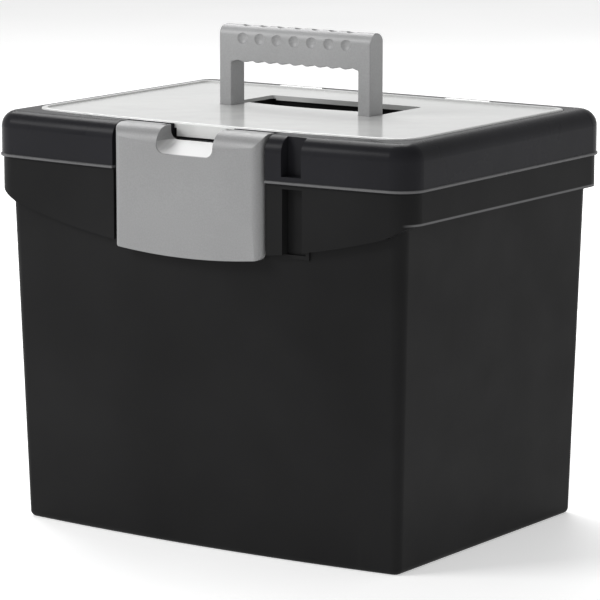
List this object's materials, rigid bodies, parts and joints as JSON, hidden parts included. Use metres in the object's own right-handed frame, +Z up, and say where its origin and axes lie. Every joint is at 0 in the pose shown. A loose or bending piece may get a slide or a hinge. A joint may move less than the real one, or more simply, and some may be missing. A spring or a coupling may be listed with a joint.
{
  "type": "portable document box",
  "caption": "Lidded carry box for hanging files, with an organiser lid, a fold-down handle and a snap latch plate.",
  "frame": {"origin": "on the floor at the middle of the box's outline", "axes": "+X to the box's left as it faces you, along its width; -Y out of the front, where the latch is; +Z up"},
  "size_m": [0.34, 0.2678, 0.3387],
  "materials": {
    "black_plastic": "satin moulded polypropylene",
    "rail_plastic": "satin",
    "white_plastic": "glossy",
    "grey_plastic": "fine satin",
    "steel": "bright"
  },
  "bodies": {
    "tub": {"tub": "black_plastic", "file_rail_left": "rail_plastic", "file_rail_right": "rail_plastic", "lid_hinge_pin_left": "steel", "lid_hinge_pin_right": "steel"},
    "lid": {"lid_frame": "black_plastic", "latch_pin_left": "steel", "latch_pin_right": "steel", "cover_hinge_pin_left": "steel", "cover_hinge_pin_right": "steel"},
    "cover": {"top_cover": "white_plastic", "handle_cup": "black_plastic", "cup_screws": "steel", "handle_pin_left": "steel", "handle_pin_right": "steel"},
    "handle": {"handle": "grey_plastic"},
    "latch": {"latch": "grey_plastic"}
  },
  "joints": [
    {"name": "lid_hinge", "type": "hinge", "parent": "tub", "child": "lid", "pos_m": [0, 0.1292, 0.2522], "axis": [-1, 0, 0], "range_deg": [0, 105]},
    {"name": "cover_hinge", "type": "hinge", "parent": "lid", "child": "cover", "pos_m": [0, 0.1044, 0.2816], "axis": [-1, 0, 0], "range_deg": [0, 100]},
    {"name": "handle_fold", "type": "hinge", "parent": "cover", "child": "handle", "pos_m": [0, -0.004, 0.2792], "axis": [-1, 0, 0], "range_deg": [0, 90]},
    {"name": "latch_swing", "type": "hinge", "parent": "lid", "child": "latch", "pos_m": [0, -0.1166, 0.2793], "axis": [-1, 0, 0], "range_deg": [0, 90]}
  ]
}
